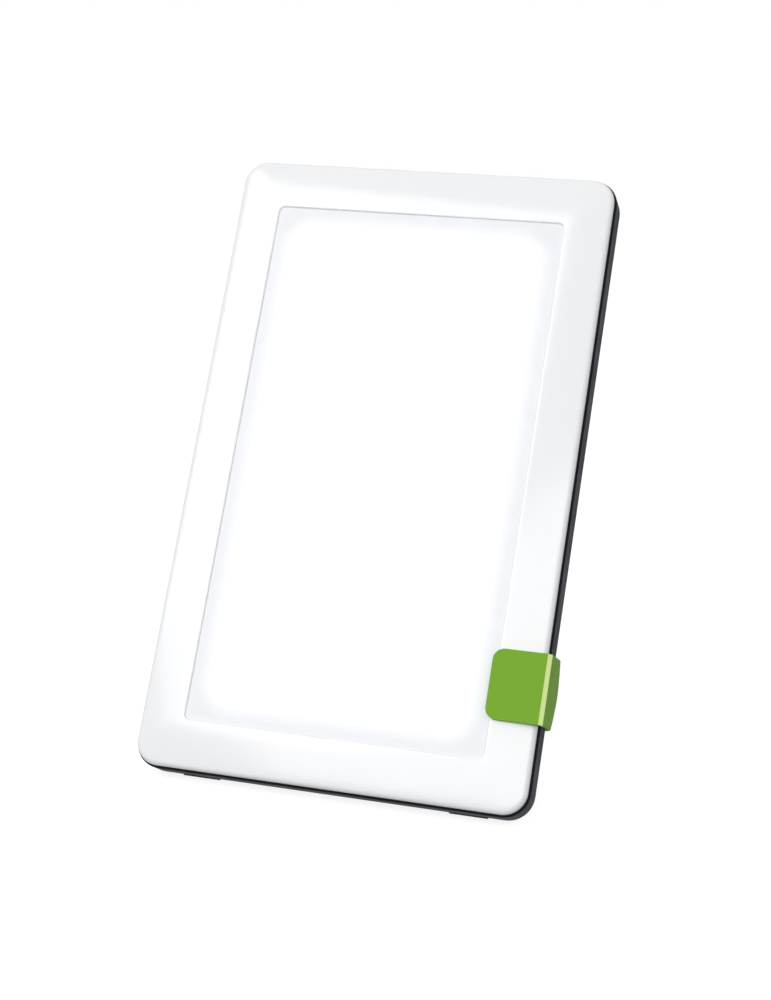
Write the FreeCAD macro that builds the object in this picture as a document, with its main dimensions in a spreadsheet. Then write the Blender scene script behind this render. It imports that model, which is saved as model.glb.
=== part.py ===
"""Tablet-shaped light therapy lamp that leans on a clip-on stand.

Every piece of the panel is drawn flat, with X across, Y up along the panel from the
housing's lower edge and Z out of the front, and Z is 0 at the rim of the window.
A placement then leans the whole panel back and stands it on the table.
"""
import FreeCAD, Part
import Sketcher
import math
import os
import re

Vector = FreeCAD.Vector

# Driving sizes in millimetres and degrees.
SIZES = {
    # How the lamp stands.
    "lean_angle": 25,
    "shift_across": -0.775,
    "shift_back": -58.655,
    "foot_proud": 0.5,
    # Rear housing.
    "body_width": 145.7,
    "body_height": 237,
    "body_corner": 9.5,
    "body_rear": 19.5,
    "body_front": 4.4,
    "rear_round": 6,
    "front_edge": 0.5,
    "floor_slope": 3.5,
    "housing_wall": 2,
    "rib_thick": 1.2,
    "rib_tall": 4,
    "rib_first": 92,
    "rib_pitch": 28,
    "rib_gap": 1,
    # Front bezel.
    "bezel_inset": 0.5,
    "bezel_corner": 9,
    "bezel_depth": 4,
    "bezel_round": 3,
    "bezel_fall": 0.35,
    "rim_width": 3,
    "bezel_face": 1.9,
    "bezel_side": 2.8,
    "skirt_depth": 3.4,
    "skirt_gap": 0.1,
    "hook_width": 12,
    "hook_reach": 0.7,
    "hook_tall": 1.6,
    "hook_room": 0.25,
    "hook_low": 75,
    "hook_high": 165,
    "window_width": 110.5,
    "window_height": 199.2,
    "window_middle": 118,
    "window_corner": 2.1,
    "lip_depth": 0.9,
    # Optical stack, front to back.
    "panel_width": 118,
    "panel_height": 207,
    "panel_thick": 2,
    "film_width": 116,
    "film_height": 205,
    "film_thick": 0.25,
    "guide_width": 113,
    "guide_thick": 3,
    "backplate_thick": 1,
    "backplate_flange": 3.5,
    "led_depth": 0.8,
    "led_length": 3,
    "led_height": 1.4,
    "led_pitch": 8.4,
    "led_count": 24,
    "led_gap": 0.1,
    "strip_thick": 1.2,
    "strip_tall": 3,
    "strip_length": 203,
    # Frame that holds the stack.
    "frame_margin": 2.2,
    "frame_gap": 0.2,
    "frame_rear_room": 0.7,
    "frame_front": 1.95,
    "frame_ledge": 0.6,
    "ear_radius": 3,
    "ear_thick": 1.5,
    "ear_neck": 5.2,
    "ear_across": 25,
    # Screws.
    "screw_across": 50,
    "screw_margin": 8.6,
    "screw_radius": 1.3,
    "screw_head": 2.4,
    "screw_head_thick": 1.6,
    "pilot_gap": 0.03,
    "boss_radius": 2.6,
    "well_radius": 2.8,
    "well_wall": 1.4,
    "well_floor": 12,
    "boss_joint": 9,
    "screw_reach": 8.8,
    "pilot_reach": 6.6,
    "clearance_gap": 0.15,
    "small_screw": 1,
    "small_reach": 6.5,
    "ear_reach": 4.4,
    "tip_room": 0.4,
    "ear_boss": 2.2,
    "small_head": 2,
    "small_head_thick": 1.2,
    "recess_length": 2.8,
    "recess_width": 0.8,
    "recess_depth": 0.9,
    # Driver board.
    "board_left": -66,
    "board_low": 38,
    "board_width": 60,
    "board_height": 40,
    "board_front": 9.2,
    "board_thick": 1.6,
    "board_inset": 3,
    "standoff_radius": 2.4,
    "chip_left": -24,
    "chip_low": 58,
    "chip_side": 6,
    "chip_thick": 1.6,
    "coil_across": -31,
    "coil_along": 48,
    "coil_side": 10,
    "coil_cut": 1.5,
    "coil_height": 4.6,
    "can_first": -51,
    "can_pitch": 8,
    "can_along": 46,
    "can_radius": 3.15,
    "can_height": 5.4,
    "plug_left": -13,
    "plug_width": 5,
    "plug_first": 46,
    "plug_pitch": 8,
    "plug_length": 5.5,
    "plug_height": 3.4,
    # Barrel socket in the left wall.
    "socket_along": 48,
    "socket_width": 8,
    "socket_height": 5.5,
    "socket_length": 13,
    "socket_face": 70.6,
    "socket_bore": 2.1,
    "socket_bore_deep": 9,
    "socket_pin": 0.8,
    "pin_inset": 0.5,
    "pin_edge": 0.4,
    "socket_room": 0.1,
    "inlet_radius": 2.9,
    # Power button in the rear face.
    "button_across": -46,
    "button_along": 67,
    "button_radius": 5,
    "button_gap": 0.25,
    "button_proud": 0.7,
    "button_edge": 0.4,
    "button_play": 0.3,
    "button_flange": 6.4,
    "button_flange_thick": 1,
    "button_stem": 1.5,
    "dish_radius": 8,
    "dish_depth": 0.5,
    "switch_side": 6,
    "switch_height": 3.5,
    "plunger_radius": 1.75,
    "plunger_gap": 0.1,
    "plunger_tip": 15.5,
    "plunger_root": 13.4,
    "plunger_well": 1,
    # Rubber feet under the lower rear edge.
    "foot_across": 50,
    "foot_width": 14,
    "foot_ahead": 0.8,
    "foot_behind": 4.5,
    "foot_inside": 2.4,
    # Clip of the stand.
    "clip_low": 32.4,
    "clip_tall": 25,
    "clip_left": 53.8,
    "clip_outer": 74.4,
    "clip_inner": 73.05,
    "clip_front": 2,
    "clip_seat": 0.25,
    "clip_corner": 4,
    "clip_bevel": 1.4,
    "clip_edge": 0.35,
    "clip_rear_round": 1,
    "arm_round": 1.9,
    "clip_over": 1,
    "arm_left": -12,
    "arm_seat": 20,
    "arm_rear": 22.2,
    "grip_depth": 0.8,
    "grip_proud": 0.2,
    "grip_margin": 4,
    "grip_width": 18,
    "grip_first": 0,
    "grip_pitch": 46,
    # Leg of the stand.
    "leg_width": 34,
    "leg_top_back": 41.5,
    "leg_top_up": 39.5,
    "leg_under_back": 39.7,
    "leg_under_up": 37.6,
    "heel_top_back": 88,
    "heel_under_back": 86.6,
    "toe_back": 101,
    "toe_plate": 2.4,
    "gusset_low_back": 33.3,
    "gusset_low_up": 21.4,
    "gusset_end_back": 80.6,
    "gusset_end_up": 1.6,
    "pad_thick": 1.2,
    "pad_inset": 1.5,
    "gusset_thick": 1.8,
    "gusset_bite": 1,
    "heel_round": 5,
    "toe_round": 4,
}

doc = FreeCAD.newDocument("light_therapy_lamp")
sheet = doc.addObject("Spreadsheet::Sheet", "Sizes")
for row, (alias, size) in enumerate(SIZES.items(), start=1):
    sheet.set(f"A{row}", alias)
    sheet.set(f"B{row}", str(size))
    sheet.setAlias(f"B{row}", alias)
doc.recompute()

pieces = []

# How near an edge lies to the place that picks it out.
EDGE_FINDING = 1e-3

# Sizes that follow from the driving ones, as expressions on the sheet.
LEAN = "(lean_angle * 1 deg)"
TABLE_DROP = f"(foot_proud + rear_round * (1 - cos{LEAN}) + (body_rear - rear_round) * sin{LEAN})"
CONTACT_BACK = f"(rear_round * sin{LEAN} + (body_rear - rear_round) * cos{LEAN})"
BODY_MIDDLE = "(body_height / 2)"
FLOOR = "(body_rear - housing_wall)"
FILM_FRONT = "(lip_depth + panel_thick)"
PRISM_FRONT = f"({FILM_FRONT} + film_thick)"
GUIDE_FRONT = f"({PRISM_FRONT} + film_thick)"
REFLECTOR_FRONT = f"({GUIDE_FRONT} + guide_thick)"
PLATE_FRONT = f"({REFLECTOR_FRONT} + film_thick)"
STACK_REAR = f"({PLATE_FRONT} + backplate_thick)"
BOARD_REAR = "(board_front + board_thick)"
SWITCH_REAR = f"({BOARD_REAR} + switch_height)"
SOCKET_REAR = f"({BOARD_REAR} + socket_height)"
SOCKET_AXIS = f"({BOARD_REAR} + socket_height / 2)"
DISH_FLOOR = "(body_rear - dish_depth)"
CLIP_HIGH = "(clip_low + clip_tall)"
LED_FACE = "(guide_width / 2 + led_gap)"


def cells(expression):
    """The expression with every size name pointing at its cell of the sheet."""

    def point(found):
        return "Sizes." + found[0] if found[0] in SIZES else found[0]

    return re.sub(r"[a-z_]+", point, str(expression))


def value(expression):
    """The number that an expression on the sheet gives."""
    result = sheet.evalExpression(cells(expression))
    return float(getattr(result, "Value", result))


def new_body(name, many=False):
    """A named piece, leant back and stood on the table with the rest of the panel."""
    body = doc.addObject("PartDesign::Body", name)
    body.Label = name
    body.AllowCompound = many
    lean = FreeCAD.Rotation(Vector(1, 0, 0), 90 - SIZES["lean_angle"])
    body.Placement = FreeCAD.Placement(Vector(), lean)
    body.setExpression("Placement.Rotation.Angle", cells("90 - lean_angle"))
    body.setExpression("Placement.Base.x", cells("shift_across"))
    body.setExpression("Placement.Base.y", cells("shift_back"))
    body.setExpression("Placement.Base.z", cells(TABLE_DROP))
    pieces.append(body)
    return body


def sketch_on(body, plane, level="0", upright=False):
    """A sketch on one of the body's own planes, moved along that plane's normal.

    An upright sketch is turned so that its axes run back along the table and straight up.
    """
    sketch = body.newObject("Sketcher::SketchObject", body.Name + "_sketch")
    support = next(item for item in body.Origin.OriginFeatures if item.Role == plane)
    sketch.AttachmentSupport = [(support, "")]
    sketch.MapMode = "FlatFace"
    if upright:
        turn = FreeCAD.Rotation(Vector(0, 0, -1), 90 - SIZES["lean_angle"])
        sketch.AttachmentOffset = FreeCAD.Placement(Vector(), turn)
        sketch.setExpression("AttachmentOffset.Rotation.Angle", cells("90 - lean_angle"))
    sketch.setExpression("AttachmentOffset.Base.z", cells(level))
    return sketch


def bind(sketch, constraint, expression):
    """Add a constraint whose size comes from the sheet."""
    index = sketch.addConstraint(constraint)
    sketch.setExpression(f"Constraints[{index}]", cells(expression))


def fix_point(sketch, edge, end, spot):
    """Hold one end of an edge at a spot given by two expressions."""
    for way, expression in zip(("DistanceX", "DistanceY"), spot):
        bind(sketch, Sketcher.Constraint(way, -1, 1, edge, end, value(expression)), expression)


def polygon(sketch, corners):
    """Closed outline of straight lines with every corner bound to the sheet."""
    points = [Vector(value(across), value(along), 0) for across, along in corners]
    first = len(sketch.Geometry)
    count = len(points)
    for index, point in enumerate(points):
        sketch.addGeometry(Part.LineSegment(point, points[(index + 1) % count]))
    for index, corner in enumerate(corners):
        following = first + (index + 1) % count
        sketch.addConstraint(Sketcher.Constraint("Coincident", first + index, 2, following, 1))
        fix_point(sketch, first + index, 1, corner)


def rectangle(sketch, left, right, low, high):
    """Square-cornered rectangle between four bound edges."""
    polygon(sketch, [(left, low), (right, low), (right, high), (left, high)])


def centred_rectangle(sketch, width, height):
    """Square-cornered rectangle round the middle of the window."""
    low = f"window_middle - ({height}) / 2"
    high = f"window_middle + ({height}) / 2"
    rectangle(sketch, f"-({width}) / 2", f"({width}) / 2", low, high)


def rounded_rectangle(sketch, width, height, corner, middle):
    """Rectangle with tangent corner arcs, centred across the panel at a height on it."""
    right = value(width) / 2
    top = value(middle) + value(height) / 2
    low = value(middle) - value(height) / 2
    radius = value(corner)
    first = len(sketch.Geometry)
    sides = [
        (Vector(-right + radius, low), Vector(right - radius, low)),
        (Vector(right, low + radius), Vector(right, top - radius)),
        (Vector(right - radius, top), Vector(-right + radius, top)),
        (Vector(-right, top - radius), Vector(-right, low + radius)),
    ]
    centres = [
        Vector(right - radius, low + radius),
        Vector(right - radius, top - radius),
        Vector(-right + radius, top - radius),
        Vector(-right + radius, low + radius),
    ]
    for start, end in sides:
        sketch.addGeometry(Part.LineSegment(start, end))
    for turn, centre in enumerate(centres):
        circle = Part.Circle(centre, Vector(0, 0, 1), radius)
        begin = math.radians(270 + 90 * turn)
        sketch.addGeometry(Part.ArcOfCircle(circle, begin, begin + math.pi / 2))
    for index in range(4):
        arc = first + 4 + index
        following = first + (index + 1) % 4
        sketch.addConstraint(Sketcher.Constraint("Tangent", first + index, 2, arc, 1))
        sketch.addConstraint(Sketcher.Constraint("Tangent", arc, 2, following, 1))
    for index, way in enumerate(("Horizontal", "Vertical", "Horizontal", "Vertical")):
        sketch.addConstraint(Sketcher.Constraint(way, first + index))
    for arc in (first + 5, first + 6, first + 7):
        sketch.addConstraint(Sketcher.Constraint("Equal", first + 4, arc))
    bind(sketch, Sketcher.Constraint("Radius", first + 4, radius), corner)
    bounds = [
        ("DistanceX", first + 1, right, f"({width}) / 2"),
        ("DistanceX", first + 3, -right, f"-({width}) / 2"),
        ("DistanceY", first, low, f"({middle}) - ({height}) / 2"),
        ("DistanceY", first + 2, top, f"({middle}) + ({height}) / 2"),
    ]
    for way, edge, number, expression in bounds:
        bind(sketch, Sketcher.Constraint(way, -1, 1, edge, 1, number), expression)


def circles(sketch, radius, spots):
    """One circle of the same bound radius at each spot."""
    for spot in spots:
        centre = Vector(value(spot[0]), value(spot[1]), 0)
        edge = sketch.addGeometry(Part.Circle(centre, Vector(0, 0, 1), value(radius)))
        bind(sketch, Sketcher.Constraint("Radius", edge, value(radius)), radius)
        fix_point(sketch, edge, 3, spot)


def squares(sketch, half, spots):
    """One square of the same half side at each spot."""
    for across, along in spots:
        rectangle(
            sketch,
            f"{across} - {half}",
            f"{across} + {half}",
            f"{along} - {half}",
            f"{along} + {half}",
        )


def pad(body, sketch, length, back=False):
    """Add the sketch's outline to the body, along its normal or back from it."""
    feature = body.newObject("PartDesign::Pad", body.Name + "_pad")
    feature.Profile = sketch
    feature.Reversed = back
    feature.setExpression("Length", cells(length))
    doc.recompute()
    return feature


def pocket(body, sketch, length, forward=False):
    """Cut the sketch's outline out of the body, and make sure that it did cut."""
    before = body.Shape.Volume
    feature = body.newObject("PartDesign::Pocket", body.Name + "_pocket")
    feature.Profile = sketch
    feature.Reversed = forward
    feature.setExpression("Length", cells(length))
    doc.recompute()
    if body.Shape.Volume >= before:
        raise RuntimeError(f"a pocket in {body.Label} cuts nothing")
    return feature


def dress(body, kind, size, chosen):
    """Fillet or chamfer the edges of the body's last feature that a test picks out."""
    last = body.Tip
    names = [f"Edge{index}" for index, edge in enumerate(last.Shape.Edges, start=1) if chosen(edge)]
    feature = body.newObject(f"PartDesign::{kind}", body.Name + "_edge")
    feature.Base = (last, names)
    feature.setExpression("Radius" if kind == "Fillet" else "Size", cells(size))
    last.Visibility = False
    doc.recompute()
    return feature


def at_level(level):
    """Test for edges that lie flat at one level of the panel."""
    height = value(level)

    def test(edge):
        box = edge.BoundBox
        return abs(box.ZMin - height) < EDGE_FINDING and abs(box.ZMax - height) < EDGE_FINDING

    return test


def along_panel(across, level):
    """Test for the edge that runs up the panel at one place across and one level."""
    x, z = value(across), value(level)

    def test(edge):
        box = edge.BoundBox
        here = abs(box.Center.x - x) < EDGE_FINDING and abs(box.Center.z - z) < EDGE_FINDING
        return here and box.XLength < EDGE_FINDING and box.ZLength < EDGE_FINDING

    return test


def through_panel(across, front):
    """Test for short edges that run front to back at one place across, near the front."""
    x, z = value(across), value(front)

    def test(edge):
        box = edge.BoundBox
        upright = box.XLength < EDGE_FINDING and box.YLength < EDGE_FINDING
        return upright and abs(box.Center.x - x) < EDGE_FINDING and abs(box.ZMax - z) < EDGE_FINDING

    return test


def edge_at(across, along, level):
    """Test for the edge whose middle is at one place on the panel."""
    middle = Vector(value(across), value(along), value(level))

    def test(edge):
        return edge.BoundBox.Center.distanceToPoint(middle) < EDGE_FINDING

    return test


def from_table(back, up):
    """Place along the panel and level of a spot given back along the table and up from it."""
    along = f"(({back}) * sin{LEAN} + ({up}) * cos{LEAN})"
    level = f"(({up}) * sin{LEAN} - ({back}) * cos{LEAN})"
    return along, level


def round_the_face(right, level):
    """Test for edges of a flat face at one level, but for its straight right-hand side."""
    x, z = value(right), value(level)

    def test(edge):
        box = edge.BoundBox
        flat = abs(box.ZMin - z) < EDGE_FINDING and abs(box.ZMax - z) < EDGE_FINDING
        return flat and box.XMin < x - EDGE_FINDING

    return test


def block(name, left, right, low, high, front, rear):
    """Plain square-edged piece between six bound faces, depths counted back from the rim."""
    body = new_body(name)
    sketch = sketch_on(body, "XY_Plane", f"-({rear})")
    rectangle(sketch, left, right, low, high)
    pad(body, sketch, f"({rear}) - ({front})")
    return body


def sheet_piece(name, width, height, corner, front, thick):
    """Flat sheet of the optical stack with rounded corners."""
    body = new_body(name)
    outline = sketch_on(body, "XY_Plane", f"-({front}) - ({thick})")
    rounded_rectangle(outline, width, height, corner, "window_middle")
    pad(body, outline, thick)
    return body


def screws(name, spots, seat, head, head_thick, shank, reach, backward):
    """Group of equal screws whose heads seat at one depth and whose shanks run on from it."""
    body = new_body(name, many=True)
    heads = sketch_on(body, "XY_Plane", f"-({seat})")
    circles(heads, head, spots)
    pad(body, heads, head_thick, back=backward)
    shanks = sketch_on(body, "XY_Plane", f"-({seat})")
    circles(shanks, shank, spots)
    pad(body, shanks, reach, back=not backward)
    return body


HOUSING_SCREWS = [
    (across, along)
    for along in ("screw_margin", "body_height - screw_margin")
    for across in ("-screw_across", "screw_across")
]
FRAME_SCREWS = [("-ear_across", "screw_margin"), ("ear_across", "body_height - screw_margin")]
BOARD_SCREWS = [
    ("board_left + board_inset", "board_low + board_inset"),
    ("board_left + board_width - board_inset", "board_low + board_height - board_inset"),
]
BOARD_POSTS = [
    ("board_left + board_width - board_inset", "board_low + board_inset"),
    ("board_left + board_inset", "board_low + board_height - board_inset"),
]
BUTTON = [("button_across", "button_along")]
GRIPS = [
    ("grip_first", "grip_first + grip_width"),
    ("grip_first + grip_pitch", "grip_first + grip_pitch + grip_width"),
]


def front_bezel():
    """White glossy frame: crowned face, window with a thin lip, skirt and screw bosses."""
    body = new_body("front_bezel")
    width = "body_width - 2 * bezel_inset"
    height = "body_height - 2 * bezel_inset"
    outline = sketch_on(body, "XY_Plane", "-bezel_depth")
    rounded_rectangle(outline, width, height, "bezel_corner", BODY_MIDDLE)
    pad(body, outline, "bezel_depth - bezel_fall")
    dress(body, "Fillet", "bezel_round", at_level("-bezel_fall"))
    # The face rises gently from the rounded outer edge to the rim of the window.
    low = sketch_on(body, "XY_Plane", "-bezel_fall")
    low_width = f"{width} - 2 * bezel_round"
    low_height = f"{height} - 2 * bezel_round"
    rounded_rectangle(low, low_width, low_height, "bezel_corner - bezel_round", BODY_MIDDLE)
    rim = sketch_on(body, "XY_Plane")
    rim_width = "window_width + 2 * rim_width"
    rim_height = "window_height + 2 * rim_width"
    rounded_rectangle(rim, rim_width, rim_height, "window_corner + rim_width", "window_middle")
    crown = body.newObject("PartDesign::AdditiveLoft", "bezel_crown")
    crown.Profile = low
    crown.Sections = [rim]
    crown.Ruled = True
    doc.recompute()
    window = sketch_on(body, "XY_Plane")
    rounded_rectangle(window, "window_width", "window_height", "window_corner", "window_middle")
    pocket(body, window, "bezel_depth")
    hollow = sketch_on(body, "XY_Plane", "-bezel_depth")
    hollow_width = f"{width} - 2 * bezel_side"
    hollow_height = f"{height} - 2 * bezel_side"
    hollow_corner = "bezel_corner - bezel_side"
    rounded_rectangle(hollow, hollow_width, hollow_height, hollow_corner, BODY_MIDDLE)
    pocket(body, hollow, "bezel_depth - bezel_face", forward=True)
    seat = sketch_on(body, "XY_Plane", "-bezel_depth")
    seat_width = "panel_width + 2 * frame_gap"
    seat_height = "panel_height + 2 * frame_gap"
    centred_rectangle(seat, seat_width, seat_height)
    pocket(body, seat, "bezel_depth - lip_depth", forward=True)
    # The skirt drops inside the rear housing's wall and keeps the two shells in line.
    skirt = sketch_on(body, "XY_Plane", "-bezel_depth")
    inside = "2 * (housing_wall + skirt_gap)"
    skirt_corner = "body_corner - housing_wall - skirt_gap"
    skirt_width = f"body_width - {inside}"
    skirt_height = f"body_height - {inside}"
    rounded_rectangle(skirt, skirt_width, skirt_height, skirt_corner, BODY_MIDDLE)
    rounded_rectangle(skirt, hollow_width, hollow_height, hollow_corner, BODY_MIDDLE)
    pad(body, skirt, "skirt_depth", back=True)
    hooks = sketch_on(body, "XY_Plane", "-(bezel_depth + skirt_depth)")
    hook_outlines(hooks)
    pad(body, hooks, "hook_tall")
    bosses = sketch_on(body, "XY_Plane", "-bezel_face")
    squares(bosses, "boss_radius", HOUSING_SCREWS)
    pad(body, bosses, "boss_joint - bezel_face", back=True)
    small_bosses = sketch_on(body, "XY_Plane", "-bezel_face")
    squares(small_bosses, "ear_boss", FRAME_SCREWS)
    pad(body, small_bosses, f"{STACK_REAR} - ear_thick - bezel_face", back=True)
    pilots = sketch_on(body, "XY_Plane", "-boss_joint")
    circles(pilots, "screw_radius + pilot_gap", HOUSING_SCREWS)
    pocket(body, pilots, "pilot_reach", forward=True)
    small_pilots = sketch_on(body, "XY_Plane", f"-{STACK_REAR}")
    circles(small_pilots, "small_screw + pilot_gap", FRAME_SCREWS)
    pocket(body, small_pilots, "ear_reach + tip_room", forward=True)


def hook_outlines(sketch, room="0"):
    """Catches round the skirt: two on each long side and one at the top and the bottom."""
    half_width = "(body_width / 2 - housing_wall - skirt_gap)"
    middle = BODY_MIDDLE
    half_height = f"({middle} - housing_wall - skirt_gap)"
    half_hook = f"(hook_width / 2 + {room})"
    for sign in (-1, 1):
        root = f"{sign} * ({half_width} - hook_reach)"
        tip = f"{sign} * ({half_width} + hook_reach + {room})"
        left, right = sorted([root, tip], key=value)
        for spot in ("hook_low", "hook_high"):
            rectangle(sketch, left, right, f"{spot} - {half_hook}", f"{spot} + {half_hook}")
        root = f"{middle} + {sign} * ({half_height} - hook_reach)"
        tip = f"{middle} + {sign} * ({half_height} + hook_reach + {room})"
        low, high = sorted([root, tip], key=value)
        rectangle(sketch, f"-{half_hook}", half_hook, low, high)


def optical_stack():
    """Opal panel, films, light guide and reflector, front to back."""
    corner = "window_corner"
    sheet_piece("diffuser_panel", "panel_width", "panel_height", corner, "lip_depth", "panel_thick")
    films = [("diffuser_film", FILM_FRONT), ("prism_film", PRISM_FRONT)]
    for name, front in films:
        sheet_piece(name, "film_width", "film_height", corner, front, "film_thick")
    guide_corner = "film_thick"
    sheet_piece("light_guide_plate", "guide_width", "film_height", guide_corner, GUIDE_FRONT, "guide_thick")
    sheet_piece("reflector_sheet", "guide_width", "film_height", guide_corner, REFLECTOR_FRONT, "film_thick")


def light_strips():
    """Circuit strip with a row of light-emitting packages along each long edge of the guide."""
    low = "window_middle - strip_length / 2"
    high = "window_middle + strip_length / 2"
    near = f"{LED_FACE} + led_depth"
    far = f"{near} + strip_thick"
    level = f"{PLATE_FRONT} - (backplate_flange - film_thick) / 2"
    for side, sign in (("left", -1), ("right", 1)):
        edges = [f"{sign} * ({near})", f"{sign} * ({far})"]
        left, right = sorted(edges, key=value)
        block(f"led_strip_{side}", left, right, low, high, f"{PLATE_FRONT} - strip_tall", PLATE_FRONT)
        row = new_body(f"led_packages_{side}", many=True)
        first = sketch_on(row, "XY_Plane", f"-({level}) - led_height / 2")
        edges = [f"{sign} * {LED_FACE}", f"{sign} * ({near})"]
        left, right = sorted(edges, key=value)
        start = "window_middle - led_pitch * (led_count - 1) / 2 - led_length / 2"
        rectangle(first, left, right, start, f"{start} + led_length")
        package = pad(row, first, "led_height")
        pattern = row.newObject("PartDesign::LinearPattern", f"led_row_{side}")
        pattern.Originals = [package]
        pattern.Direction = (first, ["V_Axis"])
        pattern.setExpression("Length", cells("led_pitch * (led_count - 1)"))
        pattern.setExpression("Occurrences", cells("led_count"))
        row.Tip = pattern
        doc.recompute()


def mid_frame():
    """Moulded frame round the optical stack, with a ledge under the panel and four screw ears."""
    body = new_body("mid_frame")
    outer_width = "panel_width + 2 * frame_margin"
    outer_height = "panel_height + 2 * frame_margin"
    outline = sketch_on(body, "XY_Plane", f"-{STACK_REAR}")
    rounded_rectangle(outline, outer_width, outer_height, "window_corner + frame_margin", "window_middle")
    pad(body, outline, f"{STACK_REAR} - frame_front")
    opening = sketch_on(body, "XY_Plane", "-frame_front")
    opening_width = "film_width + 2 * frame_gap"
    opening_height = "film_height + 2 * frame_gap"
    centred_rectangle(opening, opening_width, opening_height)
    pocket(body, opening, f"{STACK_REAR} - frame_front")
    front_seat = sketch_on(body, "XY_Plane", "-frame_front")
    seat_width = "panel_width + 2 * frame_gap"
    seat_height = "panel_height + 2 * frame_gap"
    centred_rectangle(front_seat, seat_width, seat_height)
    pocket(body, front_seat, f"{FILM_FRONT} - frame_front")
    rear_seat = sketch_on(body, "XY_Plane", f"-{STACK_REAR}")
    rear_width = "panel_width + 2 * frame_rear_room"
    centred_rectangle(rear_seat, rear_width, seat_height)
    pocket(body, rear_seat, f"{STACK_REAR} - {FILM_FRONT} - frame_ledge", forward=True)
    for across, along in FRAME_SCREWS:
        inward = "ear_neck" if along == "screw_margin" else "-ear_neck"
        neck = sketch_on(body, "XY_Plane", f"-{STACK_REAR}")
        left = f"{across} - ear_radius"
        right = f"{across} + ear_radius"
        ends = sorted([along, f"{along} + {inward}"], key=value)
        rectangle(neck, left, right, *ends)
        pad(body, neck, "ear_thick")
        ear = sketch_on(body, "XY_Plane", f"-{STACK_REAR}")
        circles(ear, "ear_radius", [(across, along)])
        pad(body, ear, "ear_thick")
    holes = sketch_on(body, "XY_Plane", f"-{STACK_REAR}")
    circles(holes, "small_screw + clearance_gap", FRAME_SCREWS)
    pocket(body, holes, "ear_thick", forward=True)


def backplate():
    """Aluminium tray that backs the stack and takes the heat of the light strips."""
    body = new_body("backplate")
    half_width = f"({LED_FACE} + led_depth + strip_thick + backplate_thick)"
    low = "window_middle - film_height / 2"
    high = "window_middle + film_height / 2"
    base = sketch_on(body, "XY_Plane", f"-{STACK_REAR}")
    rectangle(base, f"-{half_width}", half_width, low, high)
    pad(body, base, "backplate_thick")
    for sign in (-1, 1):
        flange = sketch_on(body, "XY_Plane", f"-{PLATE_FRONT}")
        edges = [f"{sign} * {half_width}", f"{sign} * ({half_width} - backplate_thick)"]
        left, right = sorted(edges, key=value)
        rectangle(flange, left, right, low, high)
        pad(body, flange, "backplate_flange - frame_ledge")


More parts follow.
